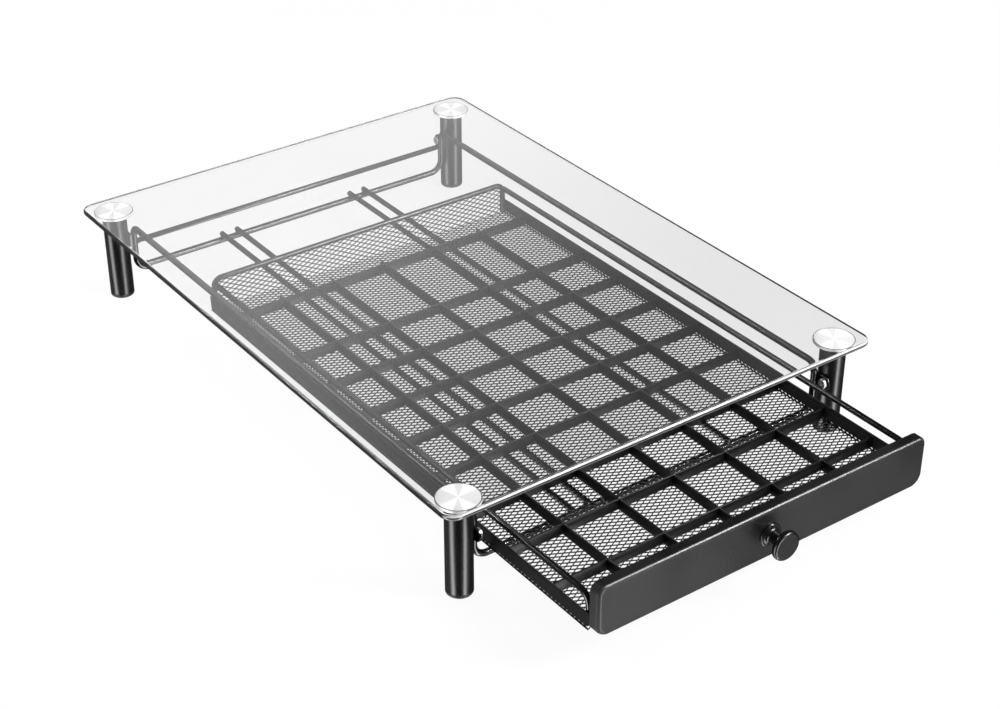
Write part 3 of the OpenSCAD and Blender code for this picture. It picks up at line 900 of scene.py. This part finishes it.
# %% [markdown]
# ## Expanded mesh
# The floor and the rear wall are expanded metal: a sheet is slit in staggered rows and
# pulled open, so that each slit becomes a diamond. What is left is a set of zigzag
# strands that touch at their turns. That is also how the tree builds it. It lays rows of
# points, lifts every other point by half a diamond, and carries a small flat bar along
# each row. The strands are turned a little on edge, as slitting leaves them, and that
# gives the mesh its glitter.

# %% Zigzag lines
NET_INPUTS = {
    "Start": (GEOMETRY, None),
    "Half Diamond Across": (FLOAT, 0.0035),
    "Half Diamond Along": (FLOAT, 0.0018),
    "Points Across": (WHOLE, 73),
    "Rows": (WHOLE, 240),
    "Strand Width": (FLOAT, 0.00072),
    "Strand Thickness": (FLOAT, 0.0005),
    "Rise": (FLOAT, 0.0002),
    "Edge Turn": (FLOAT, 0.45),
    "Material": (MATERIAL, None),
}
net_tree, given, leave = new_group("expanded_mesh", "GeometryNodeTree", NET_INPUTS, GEOMETRY_OUT)
across = combined(net_tree, x=given["Half Diamond Across"])
along = combined(net_tree, y=given["Half Diamond Along"])
row = add(net_tree, "GeometryNodeMeshLine", {
    "Count": given["Points Across"], "Offset": across}, mode="OFFSET")
column = add(net_tree, "GeometryNodeMeshLine", {
    "Count": given["Rows"], "Offset": along}, mode="OFFSET")
rows = add(net_tree, "GeometryNodeInstanceOnPoints", {
    "Points": column.outputs[0], "Instance": row.outputs[0]})
points = add(net_tree, "GeometryNodeRealizeInstances", {0: rows.outputs[0]})
# Rows hold an odd count of points, so neighbours differ in turn along and across
turn_about = math_node(net_tree, "MODULO", add(net_tree, "GeometryNodeInputIndex").outputs[0], 2.0)
lift = combined(net_tree, y=math_node(net_tree, "MULTIPLY", turn_about, given["Half Diamond Along"]),
                z=math_node(net_tree, "MULTIPLY", turn_about, given["Rise"]))
zigzag = add(net_tree, "GeometryNodeSetPosition", {"Geometry": points.outputs[0], "Offset": lift})
print("zigzag lines:", len(net_tree.nodes), "nodes")

# %% Strands along the lines
lines = add(net_tree, "GeometryNodeMeshToCurve", {"Mesh": zigzag.outputs[0]})
level = add(net_tree, "GeometryNodeSetCurveNormal", {"Curve": lines.outputs[0]}, mode="Z_UP")
on_its_edge = add(net_tree, "GeometryNodeSetCurveTilt", {
    "Curve": level.outputs[0], "Tilt": given["Edge Turn"]})
flat_bar = add(net_tree, "GeometryNodeCurvePrimitiveQuadrilateral", {
    "Width": given["Strand Width"], "Height": given["Strand Thickness"]})
strands = add(net_tree, "GeometryNodeCurveToMesh", {
    "Curve": on_its_edge.outputs[0], "Profile Curve": flat_bar.outputs[0], "Fill Caps": True})
end_tree(net_tree, strands.outputs[0], given, leave)

# %% A net of that mesh
DIAMOND_ACROSS = 7.0 * MM
DIAMOND_ALONG = 3.65 * MM
RISE = 0.2 * MM


def net(name, width, length, where, node=None, across=DIAMOND_ACROSS):
    """Expanded mesh of that width and length in its own plane, carried by where."""
    half_across = width / (2 * round(width / across))
    half_along = length / (2 * round(length / DIAMOND_ALONG))
    values = {
        "Half Diamond Across": half_across,
        "Half Diamond Along": half_along,
        "Points Across": round(width / half_across) + 1,
        "Rows": round(length / half_along),
        "Rise": RISE,
        "Material": black_mesh,
    }
    start = bpy.data.meshes.new(name)
    start.from_pydata([(0, 0, 0)], [], [])
    mesh = grown(name, start, net_tree, values)
    mesh.transform(where)
    finish_piece(name, mesh, black_mesh, "drawer", [node] if node else [])


# %% Floor and rear wall of expanded mesh
EDGE_ROOM = 0.8 * MM
TONGUE_HALF = 119 * MM
floor_low, floor_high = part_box("floor_mesh")
floor_mid_z = (floor_low.z + floor_high.z) / 2 - RISE / 2
tray_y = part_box("side_wall_left")[0].y + EDGE_ROOM
net("floor_expanded_mesh", floor_high.x - floor_low.x, floor_high.y - EDGE_ROOM - tray_y,
    Matrix.Translation((floor_low.x, tray_y, floor_mid_z)), "floor_mesh")
# A narrower tongue of it reaches under the front cells, into the panel
net("floor_mesh_tongue", 2 * TONGUE_HALF, tray_y - floor_low.y - EDGE_ROOM,
    Matrix.Translation((-TONGUE_HALF, floor_low.y + EDGE_ROOM, floor_mid_z)))

wall_low, wall_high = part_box("rear_mesh")
upright = Matrix.Rotation(math.radians(90), 4, "X")
wall_corner = (wall_low.x + EDGE_ROOM / 2, (wall_low.y + wall_high.y) / 2 + RISE / 2, wall_low.z)
net("rear_expanded_mesh", wall_high.x - wall_low.x - EDGE_ROOM, wall_high.z - wall_low.z,
    Matrix.Translation(wall_corner) @ upright, "rear_mesh")

# %% [markdown]
# ## Side walls
# Each side of the tray is a narrow steel band, folded over the turned-up edge of the
# mesh. From above one sees the round back of the fold and, lower down, the fine line
# where the hem ends. A row of diamonds of the turned-up mesh shows under the band. A
# section pushed along the side gives the band with its hem, and the mesh tree gives the
# row of diamonds. At the front the band's lower corner is cut round.

# %% Sections of a side wall
HEM_DROP = 4.0 * MM
HEM_STEP = 0.2 * MM
BAND_FOOT = 2.4 * MM
FOLD_T = 0.7 * MM
FOLD_EDGE = 0.2 * MM
FRONT_CUT_R = 2.0 * MM


def band_section(half_t, foot_z, top_z):
    """Section of the band across the side, from its foot over the fold and back down."""
    hem_z = top_z - HEM_DROP
    outside = [(half_t - HEM_STEP, foot_z), (half_t - HEM_STEP, hem_z), (half_t, hem_z + HEM_STEP)]
    inside = [(-x, z) for x, z in reversed(outside)]
    return [*outside, *arc(0, top_z - half_t, half_t, 0, 180, 8), *inside]


def band(low, high):
    """The folded band, with its lower front corner cut round."""
    half_t = (high.x - low.x) / 2
    mid_x = (low.x + high.x) / 2
    foot_z = low.z + BAND_FOOT
    cut = arc(low.y + FRONT_CUT_R, foot_z + FRONT_CUT_R, FRONT_CUT_R, 180, 270)
    return stacked([[(mid_x + x, y, up_z) for x, up_z in band_section(half_t, z, high.z)]
                    for y, z in [*cut, (high.y, foot_z)]])


def fold(low, high):
    """The turned-up lower edge, along which the row of diamonds stands."""
    half_t = (high.x - low.x) / 2
    mid_x = (low.x + high.x) / 2
    half = [(half_t - FOLD_EDGE, low.z), (half_t, low.z + FOLD_EDGE), (half_t, low.z + FOLD_T)]
    section = [(-x, z) for x, z in reversed(half)] + half
    return stacked([[(mid_x + x, y, z) for x, z in section] for y in (low.y + EDGE_ROOM, high.y)])


print("side wall in mm:", in_mm(size("side_wall_left")))

# %% Side walls
turned_up = Matrix.Rotation(math.radians(-90), 4, "Y")
for side in SIDES:
    low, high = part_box(f"side_wall_{side}")
    finish_piece(f"side_band_{side}", shape("band", [band(low, high), fold(low, high)]), black_strip,
                 "drawer", [f"side_wall_{side}"])
    row_corner = ((low.x + high.x) / 2 + RISE / 2, low.y + FRONT_CUT_R, low.z + FOLD_T / 2)
    net(f"side_diamonds_{side}", BAND_FOOT, high.y - low.y - FRONT_CUT_R,
        Matrix.Translation(row_corner) @ turned_up, across=BAND_FOOT)

# %% [markdown]
# ## Front panel
# The panel is one pressed sheet: a flat face, a rounded edge and a lip turned back all
# round, open behind. It is a stack of outlines again. They go from the face over the
# edge to the lip's end, then back inside at the sheet's thickness, so the shell has a
# real wall that shows when the drawer is seen from behind.

# %% Front panel
PANEL_LOW_R = 9 * MM
PANEL_TOP_R = 6 * MM
PANEL_T = 1.2 * MM
PRESS_R = 2.6 * MM
PRESS_STEPS = 8
LIP_R = 0.4 * MM
FACE_RIM = 0.6 * MM


def panel_shell():
    """The pressed sheet, as outlines at each (inset, depth) of its section."""
    low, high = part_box("front_panel")
    bend_y = low.y + PRESS_R
    section = [(PRESS_R + FACE_RIM, low.y), *arc(PRESS_R, bend_y, PRESS_R, 270, 180, PRESS_STEPS)]
    section += [(0, high.y - LIP_R), (LIP_R, high.y), (PANEL_T - LIP_R, high.y), (PANEL_T, high.y - LIP_R)]
    section += arc(PRESS_R, bend_y, PRESS_R - PANEL_T, 180, 270, PRESS_STEPS)
    rings = []
    for inset, y in section:
        ring = outline((high.x - low.x) / 2 - inset, low.z + inset, high.z - inset,
                       PANEL_LOW_R - inset, PANEL_TOP_R - inset)
        rings.append([(x, y, z) for x, z in ring])
    return stacked(rings)


finish_piece("pressed_panel", shape("pressed_panel", [panel_shell()]), black_panel, "drawer",
             ["front_panel"])

# %% [markdown]
# ## Knob
# A turned knob: a base flange against the panel, a waisted neck and a flat disc with a
# round rim. Its profile is drawn along the knob's axis and then laid down to face the
# front.

# %% Knob
KNOB_BASE_R = 8 * MM
KNOB_BASE_T = 1.6 * MM
KNOB_BASE_EDGE_R = 0.8 * MM
KNOB_NECK_R = 4.2 * MM
KNOB_LOW_FLARE_R = 2.2 * MM
KNOB_TOP_FLARE_R = 2.4 * MM
KNOB_DISC_T = 4.4 * MM
KNOB_DISH = 0.4 * MM  # how far the disc's back is hollowed round the neck
KNOB_SLOPE = 10  # degrees, of that back
KNOB_RIM_R = 1.6 * MM
KNOB_FACE_RIM = 0.5 * MM
KNOB_SIDES = 72


def knob_profile():
    """Base, waisted neck and disc, from the panel outwards."""
    rim_mid = size("knob").x / 2 - KNOB_RIM_R
    top = size("knob").y
    under = top - KNOB_DISC_T
    edge_r = KNOB_BASE_EDGE_R
    profile = [(0, 0), (KNOB_BASE_R, 0), *arc(KNOB_BASE_R - edge_r, edge_r, edge_r, 0, 90, 5)]
    profile += arc(KNOB_NECK_R + KNOB_LOW_FLARE_R, KNOB_BASE_T + KNOB_LOW_FLARE_R,
                   KNOB_LOW_FLARE_R, -90, -180, 8)
    profile += arc(KNOB_NECK_R + KNOB_TOP_FLARE_R, under + KNOB_DISH - KNOB_TOP_FLARE_R,
                   KNOB_TOP_FLARE_R, 180, 90 + KNOB_SLOPE, 8)
    profile += arc(rim_mid, under + KNOB_RIM_R, KNOB_RIM_R, KNOB_SLOPE - 90, 0)
    profile += arc(rim_mid, top - KNOB_RIM_R, KNOB_RIM_R, 0, 90, 8)
    return [*profile, (rim_mid - KNOB_FACE_RIM, top), (0, top)]


knob_mid = middle("knob")
to_front = Matrix.Translation((knob_mid.x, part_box("knob")[1].y, knob_mid.z)) @ upright
knob_mesh = shape("round_knob", [moved(turned(knob_profile(), KNOB_SIDES), to_front)])
finish_piece("round_knob", knob_mesh, black_knob, "drawer", ["knob"])

# %% [markdown]
# ## Screws
# Four socket screws hold the frame to the legs, and one holds the knob from behind the
# panel. Five alike pieces call for Geometry Nodes: one head is made in code, and a tree
# sets it on each point, turned the way that the point's own direction says.

# %% A socket screw's head
HEAD_SIDES = 36
HEAD_EDGE_R = 0.7 * MM


def screw_head(r, height, socket_r):
    """Head with its seat at 0 and its face up: a round edge and a sunk hexagon."""
    round_edge = [(r, 0), *arc(r - HEAD_EDGE_R, height - HEAD_EDGE_R, HEAD_EDGE_R, 0, 90, 5)]
    rings = [[(x, y, z) for x, y in arc(0, 0, ring_r, 0, 360, HEAD_SIDES)[:-1]]
             for ring_r, z in round_edge]
    hexagon = []
    for i in range(HEAD_SIDES):
        a = 2 * math.pi * i / HEAD_SIDES
        reach = socket_r / math.cos((a % (math.pi / 3)) - math.pi / 6)
        hexagon.append((reach * math.cos(a), reach * math.sin(a)))
    return stacked([*rings, *([(x, y, z) for x, y in hexagon] for z in (height, height / 2))])


print("radius of the frame screws' heads in mm:", *in_mm([screw_head_r]))

# %% The screw tree
SCREW_INPUTS = {
    "Points": (GEOMETRY, None),
    "Head": (OBJECT, None),
    "Material": (MATERIAL, None),
}
screw_tree, given, leave = new_group("set_screws", "GeometryNodeTree", SCREW_INPUTS, GEOMETRY_OUT)
way = add(screw_tree, "GeometryNodeInputNamedAttribute", {"Name": "way"}, data_type="FLOAT_VECTOR")
turned_out = add(screw_tree, "FunctionNodeAlignRotationToVector", {
    "Vector": way.outputs["Attribute"]}, axis="Z")
head = add(screw_tree, "GeometryNodeObjectInfo", {"Object": given["Head"]})
heads = add(screw_tree, "GeometryNodeInstanceOnPoints", {
    "Points": given["Points"], "Instance": head.outputs["Geometry"],
    "Rotation": turned_out.outputs[0]})
end_tree(screw_tree, heads.outputs[0], given, leave)


# %% The frame's screws and the knob's
def screws(name, places, head_size, body, node):
    """Screw heads at (point, direction) places, as one finished piece."""
    head_object = placed("screw_head", shape("screw_head", [screw_head(*head_size)]))
    cloud = bpy.data.meshes.new(name)
    cloud.from_pydata([point for point, way in places], [], [])
    ways = [value for point, way in places for value in way]
    cloud.attributes.new("way", "FLOAT_VECTOR", "POINT").data.foreach_set("vector", ways)
    mesh = grown(name, cloud, screw_tree, {"Head": head_object, "Material": screw_steel})
    bpy.data.objects.remove(head_object)
    finish_piece(name, mesh, screw_steel, body, [node])


# Radius, height and socket's half width
FRAME_HEAD = (screw_head_r, 2.2 * MM, 1.3 * MM)
KNOB_HEAD = (4 * MM, 2.4 * MM, 1.5 * MM)
frame_places = [((s * lug_x, screw_y[end], screw_z), (-s, 0, 0)) for end in ENDS for s in SIDES.values()]
screws("frame_socket_screws", frame_places, FRAME_HEAD, "stand", "frame_screws")
knob_seat = (knob_mid.x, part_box("front_panel")[0].y + PANEL_T, knob_mid.z)
screws("knob_socket_screw", [(knob_seat, (0, 1, 0))], KNOB_HEAD, "drawer", "knob_screw")

# %% [markdown]
# ## Dividers
# The dividers are flat strips with half-lap slots, and the solids already have that
# shape. What they lack is the coat's soft edge, which draws a fine light line along every
# strip. So each strip starts as a copy of its solid: the flats are joined up again, and
# the outer edges get a small bevel.

# %% Dividers and front wall
STRIP_EDGE = 0.25 * MM
SHARP_CORNER = math.radians(40)
FLAT_JOIN = math.radians(1)
STRIP_MERGE_WITHIN = 1e-6  # m


def eased_copy(node):
    """The node's mesh with a round bevel on its outer edges."""
    tidy = bmesh.new()
    tidy.from_mesh(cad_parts[node].data)
    bmesh.ops.remove_doubles(tidy, verts=tidy.verts, dist=STRIP_MERGE_WITHIN)
    bmesh.ops.dissolve_limit(tidy, angle_limit=FLAT_JOIN, verts=tidy.verts, edges=tidy.edges)
    outer = [e for e in tidy.edges if e.is_convex and e.calc_face_angle(0.0) > SHARP_CORNER]
    bmesh.ops.bevel(tidy, geom=outer, offset=STRIP_EDGE, segments=2, profile=0.5, affect="EDGES")
    mesh = bpy.data.meshes.new(node)
    tidy.to_mesh(mesh)
    tidy.free()
    return mesh


strip_nodes = [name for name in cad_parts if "divider" in name] + ["front_wall"]
for node in strip_nodes:
    finish_piece(f"{node}_strip", eased_copy(node), black_strip, "drawer", [node])

# %% [markdown]
# ## Floor and light
# The picture has a plain white ground with hardly a shadow. The floor is seen as white
# by the camera and through the glass, and keeps a small share of its own lit surface so
# that the object's shadow stays. The light is a tent: an even sky, two bright strips that
# only mirrors see, which draw the lines down the legs, a soft key lamp from the front
# right and a weaker one behind.

# %% Floor
GROUND_HALF = 30.0  # m
WHITE_SHARE = 0.93
corners = [(-GROUND_HALF, -GROUND_HALF), (GROUND_HALF, -GROUND_HALF),
           (GROUND_HALF, GROUND_HALF), (-GROUND_HALF, GROUND_HALF)]
ground = bpy.data.meshes.new("ground")
ground.from_pydata([(x, y, 0) for x, y in corners], [], [(0, 1, 2, 3)])
ground_paint = bpy.data.materials.new("ground_paint")
ground_paint.use_nodes = True
tree = ground_paint.node_tree
tree.nodes.clear()
ray = add(tree, "ShaderNodeLightPath").outputs
seen = math_node(tree, "MAXIMUM", ray["Is Camera Ray"], ray["Is Transmission Ray"])
seen = math_node(tree, "MAXIMUM", seen, ray["Is Glossy Ray"])
lit = add(tree, "ShaderNodeBsdfDiffuse", {"Color": (0.9, 0.9, 0.9, 1)})
white = add(tree, "ShaderNodeEmission", {"Color": (1, 1, 1, 1), "Strength": 1.0})
share = add(tree, "ShaderNodeMixShader", {
    0: math_node(tree, "MULTIPLY", seen, WHITE_SHARE), 1: lit.outputs[0], 2: white.outputs[0]})
add(tree, "ShaderNodeOutputMaterial", {"Surface": share.outputs[0]})
ground.materials.append(ground_paint)
ground_object = placed("ground", ground)
# Mirrors look past the floor, at the lower part of the sky
ground_object.visible_glossy = False
print("floor made,", 2 * GROUND_HALF, "m wide")

# %% What mirrors see in the sky
# Direction, degrees from it where a light is gone and where it is whole, and strength
LEFT_STRIP = ((-0.9997, 0.023, 0), 19, 4, 10.0)
FRONT_STRIP = ((0.259, -0.966, 0), 15, 4, 11.0)
TABLE_FRONT = ((0.545, -0.839, 0), 26, 4, 0.60)
TABLE_REAR = ((-0.81, 0.588, 0), 75, 20, 0.22)
TABLE_REST = 0.05
world = bpy.data.worlds.new("studio")
bpy.context.scene.world = world
world.use_nodes = True
tree = world.node_tree
tree.nodes.clear()
sky_way = add(tree, "ShaderNodeTexCoord").outputs["Generated"]
parts = add(tree, "ShaderNodeSeparateXYZ", {0: sky_way}).outputs
level_way = combined(tree, parts[0], parts[1])
level_unit = add(tree, "ShaderNodeVectorMath", {0: level_way}, operation="NORMALIZE")


def sky_light(direction, gone, whole, strength):
    """A light in the sky, by how far a level ray turns from its direction."""
    dot = add(tree, "ShaderNodeVectorMath", {0: level_unit.outputs[0], 1: direction},
              operation="DOT_PRODUCT").outputs["Value"]
    edges = [math.cos(math.radians(degrees)) for degrees in (gone, whole)]
    return math_node(tree, "MULTIPLY", ramp(tree, dot, *edges, 0.0, 1.0), strength)


strips = math_node(tree, "MAXIMUM", sky_light(*LEFT_STRIP), sky_light(*FRONT_STRIP))
table = math_node(tree, "MAXIMUM", sky_light(*TABLE_FRONT), sky_light(*TABLE_REAR))
table = math_node(tree, "MAXIMUM", table, TABLE_REST)
mirrored_low = math_node(tree, "ADD", table, strips)
print("lower sky made")

# %% The whole sky
ROOM = 0.05
AMBIENT = 0.55
HORIZON = (-0.05, 0.20)  # rise of a ray where the lower sky starts to fade and is gone
VEIL_AXIS = (-0.65, 0.3, -0.7)
VEIL_EDGES = (-0.56, -0.38)
VEIL_LEVELS = (0.26, 1.15)
ray = add(tree, "ShaderNodeLightPath").outputs
low_part = ramp(tree, parts[2], *HORIZON, 1.0, 0.0)
# Polished glass mirrors its own part of the tent: bright behind on the left, dimmer to
# the right and overhead. Rougher surfaces see a dark room above
along_veil = add(tree, "ShaderNodeVectorMath", {0: sky_way, 1: VEIL_AXIS},
                 operation="DOT_PRODUCT").outputs["Value"]
veil = ramp(tree, along_veil, *VEIL_EDGES, *VEIL_LEVELS)
mirrored_high = mixed_number(tree, ray["Is Singular Ray"], ROOM, veil)
mirrored = mixed_number(tree, low_part, mirrored_high, mirrored_low)
seen = math_node(tree, "MAXIMUM", ray["Is Camera Ray"], ray["Is Transmission Ray"])
# A ray that was mirrored under the glass comes out as a transmission ray: it still sees
# the mirrored tent and not the white ground
was_mirrored = math_node(tree, "GREATER_THAN", ray["Glossy Depth"], 0.5)
seen = math_node(tree, "MULTIPLY", seen, math_node(tree, "SUBTRACT", 1.0, was_mirrored))
mirror_ray = math_node(tree, "MAXIMUM", ray["Is Glossy Ray"], was_mirrored)
strength = mixed_number(tree, mirror_ray, AMBIENT, mirrored)
strength = mixed_number(tree, seen, strength, 1.0)
sky = add(tree, "ShaderNodeBackground", {"Color": (1, 1, 1, 1), "Strength": strength})
add(tree, "ShaderNodeOutputWorld", {"Surface": sky.outputs[0]})
print("sky made:", len(tree.nodes), "nodes")

# %% Lamps
LAMP_DISTANCE = 1.8  # m
LAMP_TARGET = Vector((0, 0, 30 * MM))


def soft_lamp(name, azimuth, elevation, side, watts):
    """Square soft box turned to the object; azimuth from +X, angles in degrees, side in m."""
    data = bpy.data.lights.new(name, "AREA")
    data.shape = "RECTANGLE"
    data.size = side
    data.size_y = side
    data.energy = watts
    # Shadow rays alone carry a lamp's light, because mirrored rays lose it in the glass
    data.cycles.use_multiple_importance_sampling = False
    lamp = placed(name, data)
    a, e = math.radians(azimuth), math.radians(elevation)
    way = Vector((math.cos(e) * math.cos(a), math.cos(e) * math.sin(a), math.sin(e)))
    lamp.location = LAMP_DISTANCE * way
    lamp.rotation_euler = (LAMP_DISTANCE * way - LAMP_TARGET).to_track_quat("Z", "Y").to_euler()
    lamp.visible_transmission = False
    return lamp


soft_lamp("key", -54, 36, 0.5, 28)
soft_lamp("rear_box", 126, 36, 0.6, 10)
# A wide box that only glossy surfaces see: it draws the light line on the panel's edge
glint = soft_lamp("glint", -54, 33, 0.8, 50)
glint.visible_diffuse = False
print("lamps made")
